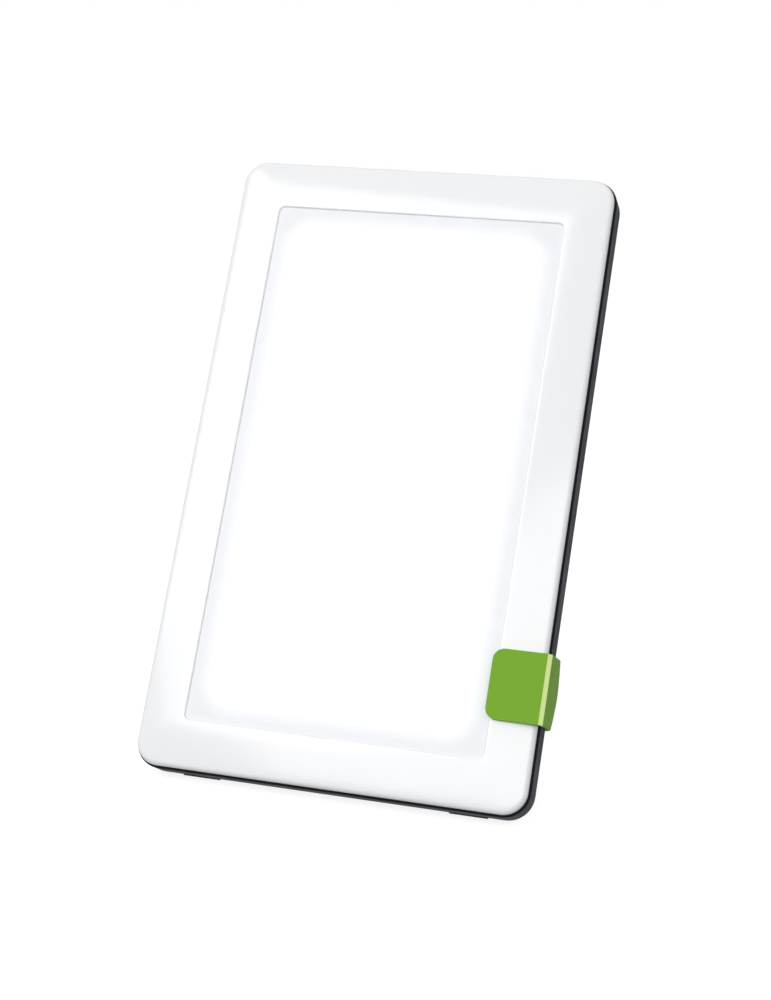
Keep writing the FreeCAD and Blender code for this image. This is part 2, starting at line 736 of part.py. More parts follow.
def rear_housing():
    """Black moulded tray with rounded edges, screw wells, ribs and the holes that it needs."""
    body = new_body("rear_housing")
    outline = sketch_on(body, "XY_Plane", "-body_rear")
    rounded_rectangle(outline, "body_width", "body_height", "body_corner", BODY_MIDDLE)
    pad(body, outline, "body_rear - body_front")
    dress(body, "Fillet", "rear_round", at_level("-body_rear"))
    dress(body, "Chamfer", "front_edge", at_level("-body_front"))
    cavity = sketch_on(body, "XY_Plane", "-body_front")
    inner_width = "body_width - 2 * housing_wall"
    inner_height = "body_height - 2 * housing_wall"
    rounded_rectangle(cavity, inner_width, inner_height, "body_corner - housing_wall", BODY_MIDDLE)
    pocket(body, cavity, f"{FLOOR} - body_front")
    dress(body, "Chamfer", "floor_slope", at_level(f"-{FLOOR}"))
    catches = sketch_on(body, "XY_Plane", "-(bezel_depth + skirt_depth + hook_room)")
    hook_outlines(catches, room="hook_room")
    pocket(body, catches, "hook_tall + 2 * hook_room", forward=True)
    # Ribs across and along the floor stiffen the large rear wall.
    half_inner = "(body_width / 2 - housing_wall - rib_gap)"
    for number in range(5):
        rib = sketch_on(body, "XY_Plane", f"-{FLOOR}")
        low = f"rib_first + {number} * rib_pitch"
        rectangle(rib, f"-{half_inner}", half_inner, low, f"{low} + rib_thick")
        pad(body, rib, "rib_tall")
    for across in ("-ear_across", "ear_across"):
        rib = sketch_on(body, "XY_Plane", f"-{FLOOR}")
        high = "body_height - housing_wall - rib_gap"
        rectangle(rib, f"{across} - rib_thick / 2", f"{across} + rib_thick / 2", "rib_first", high)
        pad(body, rib, "rib_tall")
    wells = sketch_on(body, "XY_Plane", f"-{FLOOR}")
    squares(wells, "(well_radius + well_wall)", HOUSING_SCREWS)
    pad(body, wells, f"{FLOOR} - boss_joint")
    bores = sketch_on(body, "XY_Plane", "-body_rear")
    circles(bores, "well_radius", HOUSING_SCREWS)
    pocket(body, bores, "body_rear - well_floor", forward=True)
    shanks = sketch_on(body, "XY_Plane", "-well_floor")
    circles(shanks, "screw_radius + clearance_gap", HOUSING_SCREWS)
    pocket(body, shanks, "well_floor - boss_joint", forward=True)
    standoffs = sketch_on(body, "XY_Plane", f"-{FLOOR}")
    squares(standoffs, "standoff_radius", BOARD_SCREWS + BOARD_POSTS)
    pad(body, standoffs, f"{FLOOR} - {BOARD_REAR}")
    pilots = sketch_on(body, "XY_Plane", f"-{BOARD_REAR}")
    circles(pilots, "small_screw + pilot_gap", BOARD_SCREWS)
    pocket(body, pilots, "small_reach - board_thick + tip_room")
    # Shallow dish with the button's hole at its middle.
    dish = sketch_on(body, "XY_Plane", "-body_rear")
    circles(dish, "dish_radius", BUTTON)
    pocket(body, dish, "dish_depth", forward=True)
    hole = sketch_on(body, "XY_Plane", "-body_rear")
    circles(hole, "button_radius + button_gap", BUTTON)
    pocket(body, hole, "housing_wall", forward=True)
    # Hole for the plug in the left wall, and room for the socket's nose behind it.
    nose = sketch_on(body, "XY_Plane", f"-{BOARD_REAR}")
    wall = "-(body_width / 2 - housing_wall)"
    below = "socket_along - socket_width / 2 - frame_gap"
    above = "socket_along + socket_width / 2 + frame_gap"
    rectangle(nose, wall, "board_left + 2", below, above)
    pocket(body, nose, "socket_height + socket_room")
    inlet = sketch_on(body, "YZ_Plane", "-body_width / 2")
    circles(inlet, "inlet_radius", [("socket_along", f"-{SOCKET_AXIS}")])
    pocket(body, inlet, "2 * housing_wall", forward=True)
    for side in ("-foot_across", "foot_across"):
        seat = sketch_on(body, "YZ_Plane", f"{side} - foot_width / 2", upright=True)
        foot_outline(seat)
        pocket(body, seat, "foot_width", forward=True)


def foot_outline(sketch):
    """Side view of a rubber foot: flat on the table under the housing's lowest line."""
    front = f"{CONTACT_BACK} - foot_ahead"
    rear = f"{CONTACT_BACK} + foot_behind"
    table = f"-{TABLE_DROP}"
    rectangle(sketch, front, rear, table, f"{table} + foot_proud + foot_inside")


def rubber_feet():
    """Two rubber feet set into the lower rear edge of the housing."""
    body = new_body("rubber_feet", many=True)
    for side in ("-foot_across", "foot_across"):
        outline = sketch_on(body, "YZ_Plane", f"{side} - foot_width / 2", upright=True)
        foot_outline(outline)
        pad(body, outline, "foot_width")


def driver_board():
    """Circuit board on its four standoffs."""
    right = "board_left + board_width"
    high = "board_low + board_height"
    body = block("driver_board", "board_left", right, "board_low", high, "board_front", BOARD_REAR)
    holes = sketch_on(body, "XY_Plane", "-board_front")
    circles(holes, "small_screw + clearance_gap", BOARD_SCREWS)
    pocket(body, holes, "board_thick")


def board_parts():
    """Converter chip, inductor, capacitors and lead connectors on the board's rear face."""
    chip_right = "chip_left + chip_side"
    chip_high = "chip_low + chip_side"
    chip_rear = f"{BOARD_REAR} + chip_thick"
    block("converter_chip", "chip_left", chip_right, "chip_low", chip_high, BOARD_REAR, chip_rear)
    # The inductor is a shielded block with cut corners.
    coil = new_body("inductor")
    shield = sketch_on(coil, "XY_Plane", f"-{BOARD_REAR} - coil_height")
    half = "coil_side / 2"
    straight = "(coil_side / 2 - coil_cut)"
    octagon = [
        (straight, f"-{half}"),
        (half, f"-{straight}"),
        (half, straight),
        (straight, half),
        (f"-{straight}", half),
        (f"-{half}", straight),
        (f"-{half}", f"-{straight}"),
        (f"-{straight}", f"-{half}"),
    ]
    polygon(shield, [(f"coil_across + {x}", f"coil_along + {y}") for x, y in octagon])
    pad(coil, shield, "coil_height")
    cans = new_body("smoothing_capacitors", many=True)
    ends = sketch_on(cans, "XY_Plane", f"-{BOARD_REAR} - can_height")
    circles(ends, "can_radius", [("can_first", "can_along"), ("can_first + can_pitch", "can_along")])
    pad(cans, ends, "can_height")
    plugs = new_body("lead_connectors", many=True)
    shells = sketch_on(plugs, "XY_Plane", f"-{BOARD_REAR} - plug_height")
    for low in ("plug_first", "(plug_first + plug_pitch)"):
        rectangle(shells, "plug_left", "plug_left + plug_width", low, f"{low} + plug_length")
    pad(plugs, shells, "plug_height")


def dc_socket():
    """Barrel socket at the left wall: a block with a round bore, and the pin inside it."""
    left = "-socket_face"
    right = "socket_length - socket_face"
    low = "socket_along - socket_width / 2"
    high = "socket_along + socket_width / 2"
    axis = [("socket_along", f"-{SOCKET_AXIS}")]
    body = block("dc_socket", left, right, low, high, BOARD_REAR, SOCKET_REAR)
    bore = sketch_on(body, "YZ_Plane", left)
    circles(bore, "socket_bore", axis)
    pocket(body, bore, "socket_bore_deep", forward=True)
    pin = new_body("dc_socket_pin")
    root = sketch_on(pin, "YZ_Plane", "socket_bore_deep - socket_face")
    circles(root, "socket_pin", axis)
    pad(pin, root, "socket_bore_deep - pin_inset", back=True)
    tip = value("pin_inset - socket_face")
    dress(pin, "Chamfer", "pin_edge", lambda edge: abs(edge.BoundBox.XMax - tip) < EDGE_FINDING)


def power_switch():
    """Push switch on the board, its plunger, and the button that presses it."""
    left = "button_across - switch_side / 2"
    low = "button_along - switch_side / 2"
    right = f"{left} + switch_side"
    high = f"{low} + switch_side"
    body = block("push_switch", left, right, low, high, BOARD_REAR, SWITCH_REAR)
    well = sketch_on(body, "XY_Plane", f"-{SWITCH_REAR}")
    circles(well, "plunger_radius + plunger_gap", BUTTON)
    pocket(body, well, f"{SWITCH_REAR} - plunger_root + plunger_well", forward=True)
    plunger = new_body("switch_plunger")
    tip = sketch_on(plunger, "XY_Plane", "-plunger_tip")
    circles(tip, "plunger_radius", BUTTON)
    pad(plunger, tip, "plunger_tip - plunger_root")
    button = new_body("power_button")
    cap = sketch_on(button, "XY_Plane", f"-{DISH_FLOOR} - button_proud")
    circles(cap, "button_radius", BUTTON)
    flange_front = f"({FLOOR} - button_play - button_flange_thick)"
    pad(button, cap, f"{DISH_FLOOR} + button_proud - {flange_front}")
    dress(button, "Chamfer", "button_edge", at_level(f"-{DISH_FLOOR} - button_proud"))
    flange = sketch_on(button, "XY_Plane", f"-{flange_front}")
    circles(flange, "button_flange", BUTTON)
    pad(button, flange, "button_flange_thick", back=True)
    stem = sketch_on(button, "XY_Plane", f"-{flange_front}")
    squares(stem, "button_stem", BUTTON)
    pad(button, stem, f"{flange_front} - plunger_tip")


def stand_bracket():
    """Green moulded clip that hooks round the housing's edge and runs into a leg behind it."""
    body = new_body("stand_bracket")
    hook = sketch_on(body, "XY_Plane", "-arm_rear")
    rectangle(hook, "clip_left", "clip_outer", "clip_low", CLIP_HIGH)
    pad(body, hook, "arm_rear + clip_front")
    arm = sketch_on(body, "XY_Plane", "-arm_rear")
    rectangle(arm, "arm_left", "clip_left + clip_over", "clip_low", CLIP_HIGH)
    pad(body, arm, "arm_rear - arm_seat")
    throat = sketch_on(body, "XY_Plane", "clip_seat")
    low = "clip_low - clip_over"
    high = f"{CLIP_HIGH} + clip_over"
    rectangle(throat, "clip_left - clip_over", "clip_inner", low, high)
    pocket(body, throat, "clip_seat + arm_seat")
    dress(body, "Fillet", "clip_corner", through_panel("clip_left", "clip_front"))
    dress(body, "Chamfer", "clip_bevel", along_panel("clip_outer", "clip_front"))
    dress(body, "Chamfer", "clip_edge", round_the_face("clip_outer - clip_bevel", "clip_front"))
    top_middle = "(arm_left + clip_outer) / 2"
    dress(body, "Fillet", "arm_round", edge_at(top_middle, CLIP_HIGH, "-arm_rear"))
    dress(body, "Fillet", "clip_rear_round", along_panel("clip_outer", "-arm_rear"))
    table = f"-{TABLE_DROP} + pad_thick"
    leg = sketch_on(body, "YZ_Plane", "arm_left", upright=True)
    leg_corners = [
        ("leg_top_back", "leg_top_up"),
        ("leg_under_back", "leg_under_up"),
        ("heel_under_back", table),
        ("toe_back", table),
        ("toe_back", f"{table} + toe_plate"),
        ("heel_top_back", f"{table} + toe_plate"),
    ]
    polygon(leg, leg_corners)
    pad(body, leg, "leg_width")
    leg_middle = "arm_left + leg_width / 2"
    heel = from_table("heel_top_back", f"{table} + toe_plate")
    dress(body, "Fillet", "heel_round", edge_at(leg_middle, *heel))
    toe = from_table("toe_back", f"{table} + toe_plate / 2")
    for side in ("arm_left", "arm_left + leg_width"):
        dress(body, "Fillet", "toe_round", edge_at(side, *toe))
    for share in ("0", "0.5", "1"):
        level = f"arm_left + {share} * (leg_width - gusset_thick)"
        gusset = sketch_on(body, "YZ_Plane", level, upright=True)
        gusset_corners = [
            ("leg_under_back + gusset_bite", "leg_under_up"),
            ("gusset_low_back", "gusset_low_up"),
            ("gusset_end_back", "gusset_end_up"),
        ]
        polygon(gusset, gusset_corners)
        pad(body, gusset, "gusset_thick")
    for left, right in GRIPS:
        seat = sketch_on(body, "XY_Plane", "-arm_seat")
        rectangle(seat, left, right, "clip_low + grip_margin", f"{CLIP_HIGH} - grip_margin")
        pocket(body, seat, "grip_depth")


def stand_pads():
    """Soft grip pads in the arm and the foot pad under the leg's toe."""
    grips = new_body("stand_grip_pads", many=True)
    outlines = sketch_on(grips, "XY_Plane", "-arm_seat - grip_depth")
    for left, right in GRIPS:
        rectangle(outlines, left, right, "clip_low + grip_margin", f"{CLIP_HIGH} - grip_margin")
    pad(grips, outlines, "grip_depth + grip_proud")
    sole = new_body("stand_foot_pad")
    side = sketch_on(sole, "YZ_Plane", "arm_left + pad_inset", upright=True)
    table = f"-{TABLE_DROP}"
    front = "heel_under_back + pad_inset"
    rectangle(side, front, "toe_back - pad_inset", table, f"{table} + pad_thick")
    pad(sole, side, "leg_width - 2 * pad_inset")


def fasteners():
    """The three groups of screws that hold the lamp together."""
    outer = screws(
        "housing_screws",
        HOUSING_SCREWS,
        seat="well_floor",
        head="screw_head",
        head_thick="screw_head_thick",
        shank="screw_radius",
        reach="screw_reach",
        backward=True,
    )
    for long, wide in (("recess_length", "recess_width"), ("recess_width", "recess_length")):
        slots = sketch_on(outer, "XY_Plane", "-(well_floor + screw_head_thick)")
        for across, along in HOUSING_SCREWS:
            ends = (f"{across} - {long} / 2", f"{across} + {long} / 2")
            rectangle(slots, *ends, f"{along} - {wide} / 2", f"{along} + {wide} / 2")
        pocket(outer, slots, "recess_depth", forward=True)
    screws(
        "frame_screws",
        FRAME_SCREWS,
        seat=STACK_REAR,
        head="small_head",
        head_thick="small_head_thick",
        shank="small_screw",
        reach="ear_reach",
        backward=True,
    )
    screws(
        "board_screws",
        BOARD_SCREWS,
        seat="board_front",
        head="small_head",
        head_thick="small_head_thick",
        shank="small_screw",
        reach="small_reach",
        backward=False,
    )


def check_and_write():
    """Stop on a failed feature or a bad solid, or else write every piece to its own file."""
    doc.recompute()
    failed = [item.Label for item in doc.Objects if {"Invalid", "Error"} & set(item.State)]
    if failed:
        raise RuntimeError(f"failed features: {failed}")
    for piece in pieces:
        if piece.Shape.isNull() or not piece.Shape.isValid():
            raise RuntimeError(f"bad solid: {piece.Label}")
    os.makedirs("parts", exist_ok=True)
    whole = FreeCAD.BoundBox()
    for piece in pieces:
        whole.add(piece.Shape.BoundBox)
        piece.Shape.exportStep(f"parts/{piece.Label}.step")
        solids = len(piece.Shape.Solids)
        print(f"{piece.Label}: {solids} solid(s), {piece.Shape.Volume:.0f} cubic mm")
    print("whole lamp", whole)


front_bezel()
optical_stack()
light_strips()
mid_frame()
backplate()
rear_housing()
rubber_feet()
driver_board()
board_parts()
dc_socket()
power_switch()
stand_bracket()
stand_pads()
fasteners()
check_and_write()
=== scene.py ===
import functools
import logging
import math
from collections.abc import Sequence
from dataclasses import dataclass, field
from enum import Enum

import bmesh
import bpy
from mathutils import Matrix, Vector


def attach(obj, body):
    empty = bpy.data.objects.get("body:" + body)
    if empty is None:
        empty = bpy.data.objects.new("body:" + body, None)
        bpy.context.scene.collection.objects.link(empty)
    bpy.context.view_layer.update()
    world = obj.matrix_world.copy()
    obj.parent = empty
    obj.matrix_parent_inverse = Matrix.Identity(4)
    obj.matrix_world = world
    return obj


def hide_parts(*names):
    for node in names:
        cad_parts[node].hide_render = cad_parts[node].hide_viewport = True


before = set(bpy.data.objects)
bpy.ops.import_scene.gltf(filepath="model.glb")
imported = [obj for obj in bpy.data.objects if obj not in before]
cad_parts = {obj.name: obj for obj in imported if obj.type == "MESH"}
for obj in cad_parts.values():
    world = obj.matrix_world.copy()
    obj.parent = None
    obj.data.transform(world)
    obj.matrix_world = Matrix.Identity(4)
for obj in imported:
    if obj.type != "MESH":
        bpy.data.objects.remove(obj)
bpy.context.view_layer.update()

LOG = logging.getLogger("therapy_lamp")
MM = 0.001
WHITE = "#FFFFFF"
# Degrees that a rounded corner turns through.
QUARTER = 90
# Least angle between two faces that makes a real edge of the line where they meet.
SHARP = math.radians(35)


# Small helpers


def linear(code: str) -> tuple[float, float, float, float]:
    """Turn an sRGB hex colour into the linear colour that a shader takes.

    Args:
        code: Six hex digits with a hash in front.

    Returns:
        Red, green, blue and an alpha of 1.
    """
    parts = [int(code[place : place + 2], 16) / 255 for place in (1, 3, 5)]
    curved = [
        part / 12.92 if part <= 0.04045 else ((part + 0.055) / 1.055) ** 2.4 for part in parts
    ]
    return (*curved, 1.0)


def add(
    tree: bpy.types.NodeTree,
    kind: str,
    links: dict[str | int, object] | None = None,
    **settings: object,
) -> bpy.types.Node:
    """Add a node with its settings, its plain values and its incoming links.

    Args:
        tree: Node tree that the node joins.
        kind: Type name of the node.
        links: Input name or number, to a plain value or to another node's output.
        settings: Attributes of the node itself.

    Returns:
        The new node.
    """
    node = tree.nodes.new(kind)
    for name, setting in settings.items():
        setattr(node, name, setting)
    for socket, source in (links or {}).items():
        if isinstance(source, bpy.types.NodeSocket):
            tree.links.new(source, node.inputs[socket])
        else:
            node.inputs[socket].default_value = source
    return node


def per_mm(size: float) -> float:
    """Scale of a pattern whose features are this many millimetres apart."""
    return 1.0 / (size * MM)


def towards(azimuth: float, elevation: float) -> Vector:
    """Direction from the lamp to something that stands round it.

    Args:
        azimuth: Degrees to the right of straight ahead, seen from the front.
        elevation: Degrees above the table.

    Returns:
        The direction, of length one.
    """
    turn, rise = math.radians(azimuth), math.radians(elevation)
    return Vector(
        (math.sin(turn) * math.cos(rise), -math.cos(turn) * math.cos(rise), math.sin(rise))
    )


def put(name: str, data: bpy.types.ID) -> bpy.types.Object:
    """Put a new object in the scene.

    Args:
        name: Name of the object.
        data: Its mesh, light or camera.

    Returns:
        The new object.
    """
    made = bpy.data.objects.new(name, data)
    bpy.context.scene.collection.objects.link(made)
    return made


class Body(Enum):
    """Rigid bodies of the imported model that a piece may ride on."""

    LAMP = "lamp"
    STAND = "stand"


class Wear(Enum):
    """How a surface has aged, with the share of it that shows."""

    NONE = 0.0
    LIGHT = 0.35
    HANDLED = 0.7


# The panel's own frame


@dataclass(frozen=True)
class Panel:
    """Where the leaning panel is: across it, up along it and out of its front."""

    lean: float
    origin: Vector

    @property
    def across(self) -> Vector:
        """Direction to the right across the panel."""
        return Vector((1, 0, 0))

    @property
    def up(self) -> Vector:
        """Direction up along the panel."""
        return Vector((0, math.sin(self.lean), math.cos(self.lean)))

    @property
    def out(self) -> Vector:
        """Direction out of the panel's front."""
        return Vector((0, -math.cos(self.lean), math.sin(self.lean)))

    def world(self, across: float, up: float, out: float) -> Vector:
        """Point of the frame, in metres.

        Args:
            across: Millimetres to the right of the panel's middle line.
            up: Millimetres up along the panel from the housing's lower edge.
            out: Millimetres in front of the window's rim.

        Returns:
            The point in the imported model's frame.
        """
        return self.origin + (self.across * across + self.up * up + self.out * out) * MM

    def upright(self, across: float, back: float, rise: float) -> Vector:
        """Point of the frame by the table's own directions, in metres.

        Args:
            across: Millimetres to the right of the panel's middle line.
            back: Millimetres back along the table from the housing's lower edge.
            rise: Millimetres above that edge.

        Returns:
            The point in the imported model's frame.
        """
        return self.origin + Vector((across, back, rise)) * MM


# The lean and the middle of the housing's lower edge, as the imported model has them.
PANEL = Panel(lean=math.radians(25.0), origin=Vector((-0.775, -58.655, 6.7674)) * MM)


@dataclass(frozen=True)
class Window:
    """The window in the front frame, in millimetres on the panel."""

    half_width: float = 55.25
    half_height: float = 99.6
    middle: float = 118.0
    corner: float = 2.1


WINDOW = Window()


# Finishes

# Slow clouds in the colour and the gloss are this many grains wide.
CLOUD_GRAINS = 20
CLOUD_SPAN = (0.3, 0.7)
# Scuffs in millimetres. Real ones are finer, and are drawn wide enough to show in the render.
SCUFF_LONG = 6.0
SCUFF_WIDE = 0.3
SCUFF_PATCH = 28.0
SCUFF_TURN = (0.5, 0.9, 0.3)
SCUFF_SPAN = (0.4, 0.62)
# How much rougher a full scuff is.
SCUFF_DULLS = 0.5


@dataclass(frozen=True)
class Finish:
    """One surface finish, built once as a procedural material.

    Attributes:
        name: What it is and how it was made.
        colour: sRGB hex of the clean surface.
        tint: sRGB hex of the slight unevenness in the colour.
        roughness: Typical roughness of the surface.
        spread: How far the roughness wanders from that.
        grain: Distance between bumps, in millimetres, never finer than the render can show.
        relief: Height of the bumps, in millimetres.
        ior: Refractive index of what isn't metal.
        gloss: Specular level: 0.5 on a smooth face, and less where a fine texture hides it.
        wear: How handled the surface looks.
        scuffed: sRGB hex of the surface where it is scuffed.
    """

    name: str
    colour: str
    tint: str
    roughness: float
    spread: float
    grain: float
    relief: float
    ior: float = 1.5
    gloss: float = 0.5
    wear: Wear = Wear.LIGHT
    scuffed: str = "#C9CBCE"

    @functools.cache
    def build(self) -> bpy.types.Material:
        """Make the material, with uneven colour, roughness, fine bump and wear.

        Returns:
            The material, the same one each time it is asked for.
        """
        material = bpy.data.materials.new(self.name)
        material.use_nodes = True
        tree = material.node_tree
        tree.nodes.clear()
        place = add(tree, "ShaderNodeTexCoord").outputs["Object"]
        cloud = add(
            tree,
            "ShaderNodeTexNoise",
            {"Vector": place, "Scale": per_mm(self.grain * CLOUD_GRAINS), "Detail": 3.0},
        ).outputs["Fac"]
        fine = self.surface(tree, place)
        scuffs = self.scuffs(tree, place)
        clean = add(
            tree,
            "ShaderNodeMix",
            {"Factor": cloud, "A": linear(self.colour), "B": linear(self.tint)},
            data_type="RGBA",
        ).outputs["Result"]
        colour = add(
            tree,
            "ShaderNodeMix",
            {"Factor": scuffs, "A": clean, "B": linear(self.scuffed)},
            data_type="RGBA",
        ).outputs["Result"]
        even = add(
            tree,
            "ShaderNodeMapRange",
            {
                "Value": cloud,
                "From Min": CLOUD_SPAN[0],
                "From Max": CLOUD_SPAN[1],
                "To Min": self.roughness - self.spread,
                "To Max": self.roughness + self.spread,
            },
        ).outputs["Result"]
        rough = add(
            tree, "ShaderNodeMath", {0: scuffs, 1: SCUFF_DULLS, 2: even}, operation="MULTIPLY_ADD"
        ).outputs["Value"]
        bump = add(
            tree,
            "ShaderNodeBump",
            {"Height": fine, "Strength": 1.0, "Distance": self.relief * MM},
        ).outputs["Normal"]
        shader = add(
            tree,
            "ShaderNodeBsdfPrincipled",
            {"Base Color": colour, "Roughness": rough, "Normal": bump},
        )
        self.finish_off(tree, shader)
        add(tree, "ShaderNodeOutputMaterial", {"Surface": shader.outputs["BSDF"]})
        return material

    def surface(
        self, tree: bpy.types.NodeTree, place: bpy.types.NodeSocket
    ) -> bpy.types.NodeSocket:
        """Height of the surface's fine grain.

        Args:
            tree: Node tree of the material.
            place: Position on the piece.

        Returns:
            The height, from 0 to 1.
        """
        return add(
            tree,
            "ShaderNodeTexNoise",
            {"Vector": place, "Scale": per_mm(self.grain), "Detail": 2.0, "Roughness": 0.6},
        ).outputs["Fac"]

    def scuffs(self, tree: bpy.types.NodeTree, place: bpy.types.NodeSocket) -> bpy.types.NodeSocket:
        """Thin short scuffs, sparse and uneven.

        Args:
            tree: Node tree of the material.
            place: Position on the piece.

        Returns:
            How scuffed the surface is, from 0 to the share its wear gives.
        """
        drawn = add(
            tree,
            "ShaderNodeMapping",
            {
                "Vector": place,
                "Rotation": SCUFF_TURN,
                "Scale": (per_mm(SCUFF_LONG), per_mm(SCUFF_WIDE), per_mm(SCUFF_LONG)),
            },
        ).outputs["Vector"]
        streaks = add(
            tree, "ShaderNodeTexNoise", {"Vector": drawn, "Scale": 1.0, "Detail": 1.0}
        ).outputs["Fac"]
        patches = add(
            tree,
            "ShaderNodeTexNoise",
            {"Vector": place, "Scale": per_mm(SCUFF_PATCH), "Detail": 1.0},
        ).outputs["Fac"]
        both = add(
            tree, "ShaderNodeMath", {0: streaks, 1: patches}, operation="MULTIPLY"
        ).outputs["Value"]
        return add(
            tree,
            "ShaderNodeMapRange",
            {
                "Value": both,
                "From Min": SCUFF_SPAN[0],
                "From Max": SCUFF_SPAN[1],
                "To Max": self.wear.value,
            },
        ).outputs["Result"]

    def finish_off(self, tree: bpy.types.NodeTree, shader: bpy.types.Node) -> None:
        """Set the shader's index and gloss, which are the same all over the piece.

        Args:
            tree: Node tree of the material.
            shader: Its surface shader.
        """
        shader.inputs["IOR"].default_value = self.ior
        shader.inputs["Specular IOR Level"].default_value = self.gloss


@dataclass(frozen=True)
class Metal(Finish):
    """Bare metal with fine lines left by rolling or turning.

    Attributes:
        lines: Distance between the lines in millimetres, coarser than real so that they show.
        line_long: Length of a line, in millimetres.
    """

    lines: float = 0.15
    line_long: float = 12.0

    def surface(
        self, tree: bpy.types.NodeTree, place: bpy.types.NodeSocket
    ) -> bpy.types.NodeSocket:
        """Height of the fine lines that run along the metal.

        Args:
            tree: Node tree of the material.
            place: Position on the piece.

        Returns:
            The height, from 0 to 1.
        """
        drawn = add(
            tree,
            "ShaderNodeMapping",
            {
                "Vector": place,
                "Scale": (per_mm(self.lines), per_mm(self.line_long), per_mm(self.line_long)),
            },
        ).outputs["Vector"]
        return add(
            tree, "ShaderNodeTexNoise", {"Vector": drawn, "Scale": 1.0, "Detail": 2.0}
        ).outputs["Fac"]

    def finish_off(self, tree: bpy.types.NodeTree, shader: bpy.types.Node) -> None:
        """Make the shader a metal's, with the default index.

        Args:
            tree: Node tree of the material.
            shader: Its surface shader.
        """
        shader.inputs["Metallic"].default_value = 1.0


@dataclass(frozen=True)
class LitOpal(Finish):
    """Opal acrylic lit from behind: white in the middle, cooler and greyer at the window's edge.

    Attributes:
        bend: Radius of the round corners that the light's fall-off has, in millimetres.
        fade: Width over which the light falls off, in millimetres.
        edge_glow: Strength of the light at the window's edge.
        middle_glow: Strength of the light in the middle.
        light: sRGB hex of the light itself.
    """

    bend: float = 16.0
    fade: float = 14.0
    edge_glow: float = 0.05
    middle_glow: float = 0.32
    light: str = WHITE

    def finish_off(self, tree: bpy.types.NodeTree, shader: bpy.types.Node) -> None:
        """Light the panel by its distance from the window's edge.

        Args:
            tree: Node tree of the material.
            shader: Its surface shader.
        """
        shader.inputs["IOR"].default_value = self.ior
        place = add(tree, "ShaderNodeTexCoord").outputs["Object"]
        local = add(
            tree,
            "ShaderNodeVectorMath",
            {0: place, 1: PANEL.world(0, WINDOW.middle, 0)},
            operation="SUBTRACT",
        ).outputs["Vector"]
        outward = []
        for direction, half in ((PANEL.across, WINDOW.half_width), (PANEL.up, WINDOW.half_height)):
            share = add(
                tree, "ShaderNodeVectorMath", {0: local, 1: direction}, operation="DOT_PRODUCT"
            ).outputs["Value"]
            size = add(tree, "ShaderNodeMath", {0: share}, operation="ABSOLUTE").outputs["Value"]
            beyond = add(
                tree, "ShaderNodeMath", {0: size, 1: (half - self.bend) * MM}, operation="SUBTRACT"
            ).outputs["Value"]
            outward.append(
                add(
                    tree, "ShaderNodeMath", {0: beyond, 1: 0.0}, operation="MAXIMUM"
                ).outputs["Value"]
            )
        reach = add(tree, "ShaderNodeCombineXYZ", {0: outward[0], 1: outward[1]}).outputs["Vector"]
        around = add(tree, "ShaderNodeVectorMath", {0: reach}, operation="LENGTH").outputs["Value"]
        lit = add(
            tree,
            "ShaderNodeMapRange",
            {
                "Value": around,
                "From Min": (self.bend - self.fade) * MM,
                "From Max": self.bend * MM,
                "To Min": 1.0,
                "To Max": 0.0,
            },
            interpolation_type="SMOOTHSTEP",
        ).outputs["Result"]
        glow = add(
            tree,
            "ShaderNodeMapRange",
            {"Value": lit, "To Min": self.edge_glow, "To Max": self.middle_glow},
        ).outputs["Result"]
        tree.links.new(glow, shader.inputs["Emission Strength"])
        shader.inputs["Emission Color"].default_value = linear(self.light)


# Glossy white ABS from a polished mould: sharp soft-box reflections over a faint orange peel.
WHITE_ABS = Finish(
    name="white_abs_polished_mould",
    colour="#F5F6F7",
    tint="#F2F3F5",
    roughness=0.12,
    spread=0.03,
    grain=1.8,
    relief=0.002,
    ior=1.53,
    wear=Wear.NONE,
)
# Opal PMMA with a satin face: hides the light guide behind it and glows evenly.
OPAL_ACRYLIC = LitOpal(
    name="opal_pmma_extruded_satin",
    colour="#E3E5EA",
    tint="#EDEFF2",
    roughness=0.42,
    spread=0.05,
    grain=0.5,
    relief=0.004,
    ior=1.49,
    wear=Wear.NONE,
)
# Black ABS from a spark-eroded mould: nearly matt and bluish, with a fine tooth and scuffs.
BLACK_ABS = Finish(
    name="black_abs_eroded_mould",
    colour="#121822",
    tint="#0C1119",
    roughness=0.58,
    spread=0.06,
    grain=0.5,
    relief=0.02,
    ior=1.53,
    gloss=0.08,
    scuffed="#343D4A",
)
# Green ABS from a fine-etched mould: an even strong colour with hardly any gloss.
GREEN_ABS = Finish(
    name="green_abs_etched_mould",
    colour="#80B23A",
    tint="#7CAD36",
    roughness=0.52,
    spread=0.05,
    grain=0.6,
    relief=0.006,
    ior=1.53,
    gloss=0.02,
    scuffed="#8DB94E",
)
# The same green on the clip's bevel, with a painted highlight: a pale bright line. Its
# colour is paler than the plastic's, as it stands for the highlight of a light beside the lamp.
GREEN_PAINTED_HIGHLIGHT = Finish(
    name="green_abs_bevel_painted_highlight",
    colour="#E2F894",
    tint="#DDF38F",
    roughness=0.16,
    spread=0.03,
    grain=0.9,
    relief=0.002,
    ior=1.53,
    wear=Wear.NONE,
)
# Moulded silicone rubber: dull, with no clear highlight.
BLACK_RUBBER = Finish(
    name="silicone_rubber_moulded",
    colour="#1B1C1D",
    tint="#252627",
    roughness=0.8,
    spread=0.08,
    grain=0.3,
    relief=0.02,
    ior=1.41,
    wear=Wear.HANDLED,
    scuffed="#4B4C4C",
)
# Thermoplastic elastomer moulded into the clip: dull and slightly dusty.
GRIP_ELASTOMER = Finish(
    name="elastomer_overmoulded",
    colour="#5C7F2E",
    tint="#678A38",
    roughness=0.75,
    spread=0.08,
    grain=0.4,
    relief=0.02,
    wear=Wear.HANDLED,
    scuffed="#8A9B6C",
)
